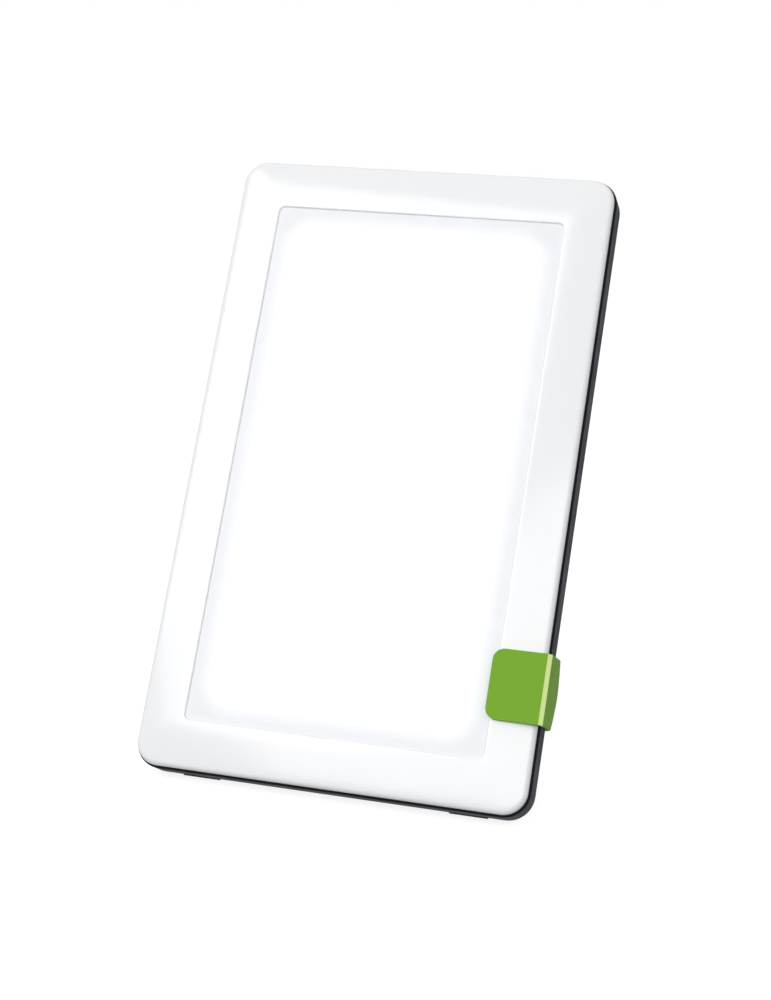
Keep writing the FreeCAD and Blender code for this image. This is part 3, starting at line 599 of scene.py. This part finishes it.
# Polycarbonate from an etched mould: matt white.
WHITE_POLYCARBONATE = Finish(
    name="white_polycarbonate_etched_mould",
    colour="#E6E6E2",
    tint="#DCDCD8",
    roughness=0.55,
    spread=0.08,
    grain=0.4,
    relief=0.01,
    ior=1.58,
)
# Stretched polyester film: pale, with a silky gloss.
POLYESTER_FILM = Finish(
    name="polyester_film_stretched",
    colour="#E4E8EC",
    tint="#DDE2E8",
    roughness=0.3,
    spread=0.05,
    grain=0.2,
    relief=0.002,
    ior=1.64,
)
# Cast PMMA with polished edges and a printed dot pattern that makes it look pale.
CAST_ACRYLIC = Finish(
    name="clear_pmma_cast_dot_printed",
    colour="#DFE9EA",
    tint="#D5E2E4",
    roughness=0.12,
    spread=0.04,
    grain=0.8,
    relief=0.001,
    ior=1.49,
)
# Glass-epoxy laminate under green solder mask: glossy with a faint weave.
GLASS_EPOXY = Finish(
    name="glass_epoxy_solder_masked",
    colour="#1F5A33",
    tint="#2A6B3D",
    roughness=0.35,
    spread=0.08,
    grain=0.6,
    relief=0.008,
    ior=1.55,
)
# Moulded epoxy or nylon of electronic parts: dark grey, matt.
MOULDED_EPOXY = Finish(
    name="epoxy_transfer_moulded",
    colour="#1C1D1F",
    tint="#26272A",
    roughness=0.6,
    spread=0.08,
    grain=0.25,
    relief=0.008,
    ior=1.55,
)
# Silicone filled with yellow phosphor: soft and slightly glossy.
PHOSPHOR_SILICONE = Finish(
    name="phosphor_silicone_dispensed",
    colour="#E8D36A",
    tint="#DCC452",
    roughness=0.4,
    spread=0.05,
    grain=0.3,
    relief=0.004,
    ior=1.41,
)
# Rolled aluminium sheet as it leaves the mill: soft streaky shine.
ROLLED_ALUMINIUM = Metal(
    name="aluminium_sheet_rolled",
    colour="#C6C8CA",
    tint="#B5B8BB",
    roughness=0.38,
    spread=0.1,
    grain=0.5,
    relief=0.004,
    scuffed="#8F9296",
)
# Zinc-plated steel screws: bright grey with a bluish cast.
ZINC_STEEL = Metal(
    name="steel_zinc_plated",
    colour="#B9BCC0",
    tint="#9EA2A8",
    roughness=0.32,
    spread=0.1,
    grain=0.2,
    relief=0.006,
    scuffed="#73777C",
)
# Nickel-plated brass pin: bright with a warm cast.
NICKEL_BRASS = Metal(
    name="brass_nickel_plated",
    colour="#D2CDC0",
    tint="#BFB9AA",
    roughness=0.2,
    spread=0.06,
    grain=0.2,
    relief=0.002,
    scuffed="#8D8779",
)


# Meshes


@dataclass(frozen=True)
class Ring:
    """Rounded rectangle at one depth of the panel, all in millimetres."""

    half_width: float
    half_height: float
    middle: float
    corner: float
    depth: float

    def points(self, steps: int) -> list[Vector]:
        """Points round the ring, counter-clockwise seen from the front.

        Args:
            steps: Spans along each corner arc.

        Returns:
            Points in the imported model's frame.
        """
        found = []
        turns = ((1, -1, -90), (1, 1, 0), (-1, 1, 90), (-1, -1, 180))
        for side, level, start in turns:
            centre_across = side * (self.half_width - self.corner)
            centre_up = self.middle + level * (self.half_height - self.corner)
            for step in range(steps + 1):
                angle = math.radians(start + QUARTER * step / steps)
                across = centre_across + self.corner * math.cos(angle)
                up = centre_up + self.corner * math.sin(angle)
                found.append(PANEL.world(across, up, self.depth))
        return found


def ring_mesh(name: str, rings: Sequence[Ring], steps: int) -> bpy.types.Object:
    """Closed band of faces through a loop of rings, the last joined to the first.

    Args:
        name: Name of the new piece.
        rings: Sections in order, going round the section of the frame.
        steps: Spans along each corner arc.

    Returns:
        The new object, shaded smooth but for its real edges.
    """
    vertices = [tuple(point) for ring in rings for point in ring.points(steps)]
    around = 4 * (steps + 1)
    faces = []
    for row in range(len(rings)):
        below = row * around
        above = (row + 1) % len(rings) * around
        for place in range(around):
            after = (place + 1) % around
            faces.append((below + place, below + after, above + after, above + place))
    mesh = bpy.data.meshes.new(name)
    mesh.from_pydata(vertices, [], faces)
    mesh.validate()
    mesh.shade_smooth()
    mesh.set_sharp_from_angle(angle=SHARP)
    return put(name, mesh)


@dataclass
class Moulding:
    """Mesh put together from closed shells, each face with the finish it takes."""

    points: list[Vector] = field(default_factory=list)
    faces: list[tuple[int, ...]] = field(default_factory=list)
    finishes: list[int] = field(default_factory=list)

    def face(self, corners: tuple[int, ...], finish: int = 0) -> None:
        """Add one face.

        Args:
            corners: Numbers of its points.
            finish: Number of the material slot that it takes.
        """
        self.faces.append(corners)
        self.finishes.append(finish)

    def shell(
        self,
        outer: Sequence[Sequence[Vector]],
        inner: Sequence[Sequence[Vector]],
        painted_highlight_row: int = -1,
    ) -> None:
        """Add a wall between two grids of points, closed round its four borders.

        Args:
            outer: Rows of points of the outer surface.
            inner: Rows of points of the inner surface, as many as the outer one has.
            painted_highlight_row: Row of outer faces that takes the second finish, a painted
                highlight.
        """
        first = len(self.points)
        rows, columns = len(outer), len(outer[0])
        for grid in (outer, inner):
            for row in grid:
                self.points.extend(row)

        def number(side: int, row: int, column: int) -> int:
            """Number of one grid point."""
            return first + (side * rows + row) * columns + column

        for row in range(rows - 1):
            # Faces of that row take the paler finish, which paints the highlight.
            finish = 1 if row == painted_highlight_row else 0
            for column in range(columns - 1):
                spots = ((row, column), (row + 1, column), (row + 1, column + 1), (row, column + 1))
                self.face(tuple(number(0, *spot) for spot in spots), finish)
                self.face(tuple(number(1, *spot) for spot in reversed(spots)))
        around = [(row, 0) for row in range(rows)]
        around += [(rows - 1, column) for column in range(1, columns)]
        around += [(row, columns - 1) for row in range(rows - 2, -1, -1)]
        around += [(0, column) for column in range(columns - 2, 0, -1)]
        for place, spot in enumerate(around):
            after = around[(place + 1) % len(around)]
            self.face((number(0, *after), number(0, *spot), number(1, *spot), number(1, *after)))

    def build(
        self, name: str, soft_edge: float, materials: Sequence[bpy.types.Material]
    ) -> bpy.types.Object:
        """Turn the shells into one object with softened edges.

        Args:
            name: Name of the new piece.
            soft_edge: Radius of its edges, in millimetres.
            materials: Its finishes, in the order of their numbers.

        Returns:
            The new object.
        """
        mesh = bpy.data.meshes.new(name)
        mesh.from_pydata([tuple(point) for point in self.points], [], self.faces)
        for material in materials:
            mesh.materials.append(material)
        mesh.polygons.foreach_set("material_index", self.finishes)
        tidy = bmesh.new()
        tidy.from_mesh(mesh)
        bmesh.ops.recalc_face_normals(tidy, faces=tidy.faces)
        tidy.to_mesh(mesh)
        tidy.free()
        mesh.shade_smooth()
        mesh.set_sharp_from_angle(angle=SHARP)
        piece = put(name, mesh)
        soften = piece.modifiers.new("soft_edges", "BEVEL")
        soften.width = soft_edge * MM
        soften.segments = 3
        soften.limit_method = "ANGLE"
        soften.angle_limit = SHARP
        soften.harden_normals = True
        return piece


# Sub-assemblies


@dataclass
class Assembly:
    """Group of CAD nodes that stay, each with the finish it takes."""

    finishes: dict[str, Finish]

    def build(self) -> None:
        """Give every node of the group its finish."""
        for node, finish in self.finishes.items():
            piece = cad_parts[node]
            piece.data.materials.clear()
            piece.data.materials.append(finish.build())
            LOG.info("%s: %s", node, finish.name)


@dataclass
class FrontFrame:
    """White front frame with a crowned face, in the CAD bezel's place, all in millimetres.

    Attributes:
        half_width: Half the width of its outline.
        half_height: Half the height of its outline.
        middle: How far up the panel the outline's middle is.
        corner: Corner radius of the outline.
        lip: Depth of the wall round the window.
        rim_round: Rounding of the window's rim.
        crown: How far the face falls from the rim to the outer edge.
        crown_power: How much of that fall comes near the outer edge.
        edge_round: Rounding of the outer edge.
        depth: How far behind the rim the frame's outer side ends.
        foot_step: Small chamfer where that side ends.
        skirt: How far behind the rim the skirt ends, inside the housing.
        skirt_outer: How far in from the outline the skirt's outside is.
        skirt_inner: How far in from the outline the skirt's inside is.
        face_back: How far behind the rim the face's back is.
        seat: How far the lip reaches over the panel's edge.
        least_corner: Least corner radius of a section.
        corner_spans: Faces along a corner.
        rim_spans: Faces across the rim's rounding.
        crown_spans: Faces across the crown.
        round_spans: Faces across the outer edge's rounding.
    """

    half_width: float = 72.35
    half_height: float = 118.0
    middle: float = 118.5
    corner: float = 9.0
    lip: float = 0.9
    rim_round: float = 0.5
    crown: float = 1.0
    crown_power: float = 2.2
    edge_round: float = 2.0
    depth: float = 4.0
    foot_step: float = 0.15
    skirt: float = 7.4
    skirt_outer: float = 1.6
    skirt_inner: float = 2.8
    face_back: float = 1.9
    seat: float = 3.95
    least_corner: float = 0.2
    corner_spans: int = 16
    rim_spans: int = 4
    crown_spans: int = 18
    round_spans: int = 10

    def ring(self, share: float, depth: float, inset: float = 0.0) -> Ring:
        """Section between the window's rim and the outer edge.

        Args:
            share: 0 at the rim and 1 at the outer edge.
            depth: Level of the section, below zero behind the rim.
            inset: Extra distance inward.

        Returns:
            The section.
        """
        rim = self.rim_round
        start = (
            WINDOW.half_width + rim,
            WINDOW.half_height + rim,
            WINDOW.middle,
            WINDOW.corner + rim,
        )
        end = (
            self.half_width - self.edge_round,
            self.half_height - self.edge_round,
            self.middle,
            self.corner - self.edge_round,
        )
        wide, tall, middle, corner = (a + (b - a) * share for a, b in zip(start, end))
        rounded = max(corner - inset, self.least_corner)
        return Ring(wide - inset, tall - inset, middle, rounded, depth)

    def rings(self) -> list[Ring]:
        """Work out the sections, all round the frame's own profile.

        Returns:
            Sections from the window's wall over the face and round the back of the frame.
        """
        rim = self.rim_round
        found = [self.ring(0, -self.lip, rim)]
        for step in range(self.rim_spans + 1):
            angle = math.radians(QUARTER * step / self.rim_spans)
            found.append(self.ring(0, rim * (math.sin(angle) - 1), rim * math.cos(angle)))
        for step in range(1, self.crown_spans + 1):
            share = step / self.crown_spans
            found.append(self.ring(share, -self.crown * share**self.crown_power))
        slope = math.atan(self.crown * self.crown_power / (self.half_width - WINDOW.half_width))
        for step in range(1, self.round_spans + 1):
            angle = slope + (math.pi / 2 - slope) * step / self.round_spans
            out = self.edge_round * (math.sin(angle) - math.sin(slope))
            drop = self.edge_round * (math.cos(slope) - math.cos(angle))
            found.append(self.ring(1, -self.crown - drop, -out))
        outer = -self.edge_round * (1 - math.sin(slope))
        found.append(self.ring(1, self.foot_step - self.depth, outer))
        found.append(self.ring(1, -self.depth, outer + self.foot_step))
        found.append(self.ring(1, -self.depth, outer + self.skirt_outer))
        found.append(self.ring(1, -self.skirt, outer + self.skirt_outer))
        found.append(self.ring(1, -self.skirt, outer + self.skirt_inner))
        found.append(self.ring(1, -self.face_back, outer + self.skirt_inner))
        found.append(self.ring(0, -self.face_back, -self.seat))
        found.append(self.ring(0, -self.lip, -self.seat))
        return found

    def build(self) -> None:
        """Make the frame and put it in the CAD node's place."""
        piece = ring_mesh("bezel_shell", self.rings(), self.corner_spans)
        piece.data.materials.append(WHITE_ABS.build())
        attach(piece, Body.LAMP.value)
        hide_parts("front_bezel")
        LOG.info("bezel_shell: %d faces, %s", len(piece.data.polygons), WHITE_ABS.name)


@dataclass
class Station:
    """One cut across a wall, in millimetres across the panel and out of it.

    Attributes:
        outer: Spot on the outer face.
        inner: Spot on the inner face.
        inset: How much shorter the wall is there at each of its two long edges.
    """

    outer: tuple[float, float]
    inner: tuple[float, float]
    inset: float = 0.0


@dataclass
class StandBracket:
    """Green clip, arm and leg of the stand, in the CAD bracket's place, all in millimetres.

    Attributes:
        low: How far up the panel the clip's lower edge is.
        high: How far up the panel its upper edge is.
        left: How far right of the panel's middle line the front plate begins.
        outer: How far right of that line the side wall's outside is.
        inner: How far right of that line its inside is.
        front: Level of the front plate's face.
        seat: Level of the front plate's back.
        corner: Corner radius of the front plate.
        bevel: Width of the bevel, whose faces carry a painted highlight, straight across either
            face.
        arm_left: Where the arm and the leg begin, from the middle line.
        arm_seat: Level of the arm's front face.
        arm_rear: Level of the arm's rear face.
        arm_stations: Places along the arm where its mesh is divided.
        least_round: Radius of the rear edge halfway up the clip.
        more_round: What is added to that radius at the clip's two ends.
        inner_less: How much smaller the radius is inside the wall.
        bow_power: How late the radius grows towards the ends.
        lift: How far the clip sweeps up at its rear.
        lift_depth: Depth over which it does so.
        lift_ends: Where along the arm the sweep has died out.
        levels: Points up the clip.
        spans: Faces along a rounding.
        soft_edge: Radius of every edge.
        leg_width: Width of the leg.
        toe_corner: Corner radius of the toe.
        leg_top: Side view of the leg's top face: arm, heel and toe.
        leg_under: Side view of its underside.
        heel: Length of the heel's bend on either side of it.
        ribs: Where the ribs under the leg begin.
        rib_thick: Thickness of a rib.
        rib_outline: Side view of a rib.
    """

    low: float = 32.4
    high: float = 57.4
    left: float = 53.8
    outer: float = 74.38
    inner: float = 73.05
    front: float = 2.0
    seat: float = 0.25
    corner: float = 4.0
    bevel: float = 1.4
    arm_left: float = -12.0
    arm_seat: float = -20.0
    arm_rear: float = -22.2
    arm_stations: tuple[float, ...] = (60.0, 45.0, 30.0, 15.0)
    least_round: float = 2.2
    more_round: float = 4.6
    inner_less: float = 1.0
    bow_power: float = 1.5
    lift: float = 1.25
    lift_depth: float = 17.0
    lift_ends: float = 20.0
    levels: int = 14
    spans: int = 8
    soft_edge: float = 0.32
    leg_width: float = 34.0
    toe_corner: float = 4.0
    leg_top: tuple[tuple[float, float], ...] = ((41.5, 39.5), (88.0, -3.17), (101.0, -3.17))
    leg_under: tuple[tuple[float, float], ...] = ((39.7, 37.6), (86.6, -5.57), (101.0, -5.57))
    heel: float = 3.4
    ribs: tuple[float, ...] = (-12.0, 4.1, 20.2)
    rib_thick: float = 1.8
    rib_outline: tuple[tuple[float, float], ...] = ((40.7, 37.6), (33.3, 21.4), (80.6, 1.6))

    def band(self, share: float) -> list[Station]:
        """Stations along the clip and the arm at one height of the clip.

        Args:
            share: 0 at the clip's lower edge and 1 at its upper edge.

        Returns:
            Stations from the front plate's free end round to the arm's free end.
        """
        found = []
        for step in range(self.spans):
            angle = math.radians(QUARTER * step / (self.spans - 1))
            across = self.left + self.corner * (1 - math.cos(angle))
            inset = self.corner * (1 - math.sin(angle))
            found.append(Station((across, self.front), (across, self.seat), inset))
        bevel_outer, bevel_inner = self.outer - self.bevel, self.inner - self.bevel
        found.append(Station((bevel_outer, self.front), (bevel_inner, self.seat)))
        found.append(Station((self.outer, self.front - self.bevel), (self.inner, self.seat)))
        bow = self.more_round * abs(2 * share - 1) ** self.bow_power
        big = self.least_round + bow
        small = big - self.inner_less
        for step in range(self.spans + 1):
            angle = math.radians(QUARTER * step / self.spans)
            outer = (
                self.outer - big + big * math.cos(angle),
                self.arm_rear + big - big * math.sin(angle),
            )
            inner = (
                self.inner - small + small * math.cos(angle),
                self.arm_seat + small - small * math.sin(angle),
            )
            found.append(Station(outer, inner))
        found += [
            Station((across, self.arm_rear), (across, self.arm_seat))
            for across in (*self.arm_stations, self.arm_left)
        ]
        return found

    def raised(self, spot: tuple[float, float]) -> float:
        """How far the clip sweeps up at one spot of its profile.

        Args:
            spot: Place across the panel and level out of it.

        Returns:
            The rise along the panel, in millimetres.
        """
        deep = min(max(-spot[1] / self.lift_depth, 0), 1)
        along = min(max((spot[0] - self.lift_ends) / (self.outer - self.lift_ends), 0), 1)
        return self.lift * deep * along

    def clip(self, moulding: Moulding) -> None:
        """Add the clip and the arm.

        Args:
            moulding: Mesh that they join.
        """
        shares = [step / (self.levels - 1) for step in range(self.levels)]
        bands = [self.band(share) for share in shares]
        outer, inner = [], []
        for number in range(len(bands[0])):
            rows = ([], [])
            for share, stations in zip(shares, bands):
                station = stations[number]
                low, high = self.low + station.inset, self.high - station.inset
                for row, spot in zip(rows, (station.outer, station.inner)):
                    along = low + (high - low) * share + self.raised(spot)
                    row.append(PANEL.world(spot[0], along, spot[1]))
            outer.append(rows[0])
            inner.append(rows[1])
        # The bevel's row of faces takes the paler finish, a painted highlight.
        moulding.shell(outer, inner, painted_highlight_row=self.spans)

    def profile(self, corners: Sequence[tuple[float, float]]) -> list[tuple[float, float]]:
        """Side view of one face of the leg, with the heel's bend rounded.

        Args:
            corners: Top, heel and toe, back along the table and up from the panel's lower edge.

        Returns:
            Spots from the arm to the toe.
        """
        top, heel, toe = (Vector(corner) for corner in corners)
        before = heel + (top - heel).normalized() * self.heel
        after = heel + (toe - heel).normalized() * self.heel
        spots = [top]
        for step in range(self.spans + 1):
            share = step / self.spans
            spots.append(
                before * (1 - share) ** 2 + heel * 2 * share * (1 - share) + after * share**2
            )
        for step in range(self.spans):
            angle = math.radians(QUARTER * step / (self.spans - 1))
            spots.append(toe - Vector((self.toe_corner * (1 - math.sin(angle)), 0)))
        return [tuple(spot) for spot in spots]

    def leg(self, moulding: Moulding) -> None:
        """Add the leg with its rounded toe.

        Args:
            moulding: Mesh that they join.
        """
        faces = [self.profile(corners) for corners in (self.leg_top, self.leg_under)]
        insets = [0.0] * (len(faces[0]) - self.spans)
        for step in range(self.spans):
            angle = math.radians(QUARTER * step / (self.spans - 1))
            insets.append(self.toe_corner * (1 - math.cos(angle)))
        grids = []
        for spots in faces:
            grid = []
            for inset, (back, rise) in zip(insets, spots):
                left, right = self.arm_left + inset, self.arm_left + self.leg_width - inset
                grid.append([PANEL.upright(across, back, rise) for across in (left, right)])
            grids.append(grid)
        moulding.shell(*grids)

    def stiffen(self, moulding: Moulding) -> None:
        """Add the three-cornered ribs under the leg.

        Args:
            moulding: Mesh that they join.
        """
        around = len(self.rib_outline)
        for left in self.ribs:
            first = len(moulding.points)
            for across in (left, left + self.rib_thick):
                moulding.points += [PANEL.upright(across, *spot) for spot in self.rib_outline]
            moulding.face(tuple(range(first, first + around)))
            moulding.face(tuple(range(first + 2 * around - 1, first + around - 1, -1)))
            for corner in range(around):
                near, far = first + corner, first + (corner + 1) % around
                moulding.face((far, near, near + around, far + around))

    def build(self) -> None:
        """Make the bracket and put it in the CAD node's place."""
        moulding = Moulding()
        self.clip(moulding)
        self.leg(moulding)
        self.stiffen(moulding)
        # The second finish paints the bevel's highlight into its colour.
        materials = [finish.build() for finish in (GREEN_ABS, GREEN_PAINTED_HIGHLIGHT)]
        piece = moulding.build("stand_moulding", self.soft_edge, materials)
        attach(piece, Body.STAND.value)
        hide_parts("stand_bracket")
        LOG.info("stand_moulding: %d faces, %s", len(piece.data.polygons), GREEN_ABS.name)


LIT_STACK = Assembly(
    {
        "diffuser_panel": OPAL_ACRYLIC,
        "diffuser_film": POLYESTER_FILM,
        "prism_film": POLYESTER_FILM,
        "light_guide_plate": CAST_ACRYLIC,
        "reflector_sheet": POLYESTER_FILM,
        "led_strip_left": WHITE_POLYCARBONATE,
        "led_strip_right": WHITE_POLYCARBONATE,
        "led_packages_left": PHOSPHOR_SILICONE,
        "led_packages_right": PHOSPHOR_SILICONE,
        "mid_frame": WHITE_POLYCARBONATE,
        "backplate": ROLLED_ALUMINIUM,
    }
)
REAR_SHELL = Assembly(
    {
        "rear_housing": BLACK_ABS,
        "power_button": BLACK_ABS,
        "rubber_feet": BLACK_RUBBER,
        "dc_socket": MOULDED_EPOXY,
        "dc_socket_pin": NICKEL_BRASS,
    }
)
ELECTRONICS = Assembly(
    {
        "driver_board": GLASS_EPOXY,
        "converter_chip": MOULDED_EPOXY,
        "inductor": MOULDED_EPOXY,
        "smoothing_capacitors": ROLLED_ALUMINIUM,
        "lead_connectors": WHITE_POLYCARBONATE,
        "push_switch": MOULDED_EPOXY,
        "switch_plunger": WHITE_POLYCARBONATE,
    }
)
STAND_PADS = Assembly(
    {
        "stand_grip_pads": GRIP_ELASTOMER,
        "stand_foot_pad": BLACK_RUBBER,
    }
)
FASTENERS = Assembly(
    {
        "housing_screws": ZINC_STEEL,
        "frame_screws": ZINC_STEEL,
        "board_screws": ZINC_STEEL,
    }
)


# Studio


@dataclass(frozen=True)
class SoftBox:
    """One soft rectangular light aimed at the lamp, with sizes in metres.

    Attributes:
        name: Name of the light.
        azimuth: Degrees to the right of straight ahead, seen from the front.
        elevation: Degrees above the table.
        distance: How far it hangs from the lamp.
        width: Width of its face.
        height: Height of its face.
        radiance: How bright its face is, where 1 is white paper in full light.
    """

    name: str
    azimuth: float
    elevation: float
    distance: float
    width: float
    height: float
    radiance: float

    def build(self, aim: Vector) -> None:
        """Hang the light.

        Args:
            aim: Point that it faces.
        """
        data = bpy.data.lights.new(self.name, "AREA")
        data.shape = "RECTANGLE"
        data.size = self.width
        data.size_y = self.height
        data.energy = self.radiance * math.pi * self.width * self.height
        lamp = put(self.name, data)
        back = towards(self.azimuth, self.elevation)
        lamp.location = aim + back * self.distance
        lamp.rotation_mode = "QUATERNION"
        lamp.rotation_quaternion = (-back).to_track_quat("-Z", "Y")


@dataclass
class Studio:
    """Pale floor, soft lights and the camera, with distances in metres and angles in degrees.

    Attributes:
        aim: Point that the camera and the lights face.
        distance: How far the camera is from it.
        azimuth: How far right of straight ahead the camera is.
        elevation: How far above the table it is.
        roll: How far it is turned about its own axis.
        lens: Focal length, in millimetres.
        sensor: Width of the sensor, in millimetres.
        nearest: Nearest that the camera sees.
        floor_half: Half the side of the floor.
        paper: sRGB hex of the floor as it takes light and shadow.
        paper_rough: Roughness of the floor.
        paper_white: Light added to the floor where it is seen, to bring it up to white.
        room: Strength of the room's light on the lamp.
        boxes: The soft lights.
    """

    aim: Vector = field(default_factory=lambda: Vector((0.00362, -0.00976, 0.10248)))
    distance: float = 0.71438
    azimuth: float = 15.694
    elevation: float = 10.721
    roll: float = 2.829
    lens: float = 70.724
    sensor: float = 36.0
    nearest: float = 0.01
    floor_half: float = 6.0
    paper: str = "#A9A9A9"
    paper_rough: float = 0.9
    paper_white: float = 0.85
    room: float = 0.44
    boxes: tuple[SoftBox, ...] = (
        SoftBox("key_softbox", -33.0, 39.0, 2.0, 1.0, 1.0, 3.3),
        SoftBox("front_softbox", 8.0, 27.0, 2.4, 2.4, 1.1, 2.7),
        SoftBox("rim_strip", 83.7, 9.6, 1.66, 0.24, 0.3, 1.5),
    )

    def camera(self) -> None:
        """Set the camera up at the photograph's viewing angle."""
        back = towards(self.azimuth, self.elevation)
        data = bpy.data.cameras.new("camera")
        data.lens = self.lens
        data.sensor_width = self.sensor
        data.clip_start = self.nearest
        camera = put("camera", data)
        level = (-back).to_track_quat("-Z", "Y").to_matrix().to_4x4()
        rolled = level @ Matrix.Rotation(math.radians(self.roll), 4, "Z")
        camera.matrix_world = Matrix.Translation(self.aim + back * self.distance) @ rolled
        bpy.context.scene.camera = camera

    @staticmethod
    def shown(tree: bpy.types.NodeTree) -> bpy.types.NodeSocket:
        """Whether the surface is seen, straight or in gloss or glass.

        Args:
            tree: Node tree that asks.

        Returns:
            1 where it is seen and 0 where it only lights other things.
        """
        path = add(tree, "ShaderNodeLightPath")
        seen = path.outputs["Is Camera Ray"]
        for other in ("Is Glossy Ray", "Is Transmission Ray"):
            seen = add(
                tree, "ShaderNodeMath", {0: seen, 1: path.outputs[other]}, operation="MAXIMUM"
            ).outputs["Value"]
        return seen

    def floor(self) -> None:
        """Lay a plain white floor that keeps the lamp's shadow."""
        half = self.floor_half
        mesh = bpy.data.meshes.new("floor")
        corners = [(-half, -half, 0), (half, -half, 0), (half, half, 0), (-half, half, 0)]
        mesh.from_pydata(corners, [], [(0, 1, 2, 3)])
        floor = put("floor", mesh)
        material = bpy.data.materials.new("white_paper_sweep")
        material.use_nodes = True
        tree = material.node_tree
        tree.nodes.clear()
        white = add(
            tree, "ShaderNodeMath", {0: self.shown(tree), 1: self.paper_white}, operation="MULTIPLY"
        ).outputs["Value"]
        paper = add(
            tree,
            "ShaderNodeBsdfPrincipled",
            {
                "Base Color": linear(self.paper),
                "Roughness": self.paper_rough,
                "Specular IOR Level": 0.0,
                "Emission Color": linear(WHITE),
                "Emission Strength": white,
            },
        ).outputs["BSDF"]
        add(tree, "ShaderNodeOutputMaterial", {"Surface": paper})
        mesh.materials.append(material)

    def world(self) -> None:
        """Fill the room with soft light, white where it is seen or mirrored."""
        world = bpy.data.worlds.new("white_room")
        world.use_nodes = True
        tree = world.node_tree
        tree.nodes.clear()
        strength = add(
            tree,
            "ShaderNodeMapRange",
            {"Value": self.shown(tree), "To Min": self.room, "To Max": 1.0},
        ).outputs["Result"]
        sky = add(
            tree, "ShaderNodeBackground", {"Color": linear(WHITE), "Strength": strength}
        ).outputs["Background"]
        add(tree, "ShaderNodeOutputWorld", {"Surface": sky})
        bpy.context.scene.world = world

    def build(self) -> None:
        """Set up the whole studio."""
        self.camera()
        self.floor()
        for box in self.boxes:
            box.build(self.aim)
        self.world()
        bpy.context.scene.view_settings.view_transform = "Standard"
        LOG.info("studio: camera, floor, %d soft lights and a white room", len(self.boxes))


def main() -> None:
    """Build every class in order."""
    logging.basicConfig(level=logging.INFO, format="%(message)s")
    FrontFrame().build()
    StandBracket().build()
    for assembly in (LIT_STACK, REAR_SHELL, ELECTRONICS, STAND_PADS, FASTENERS):
        assembly.build()
    Studio().build()


if __name__ == "__main__":
    main()
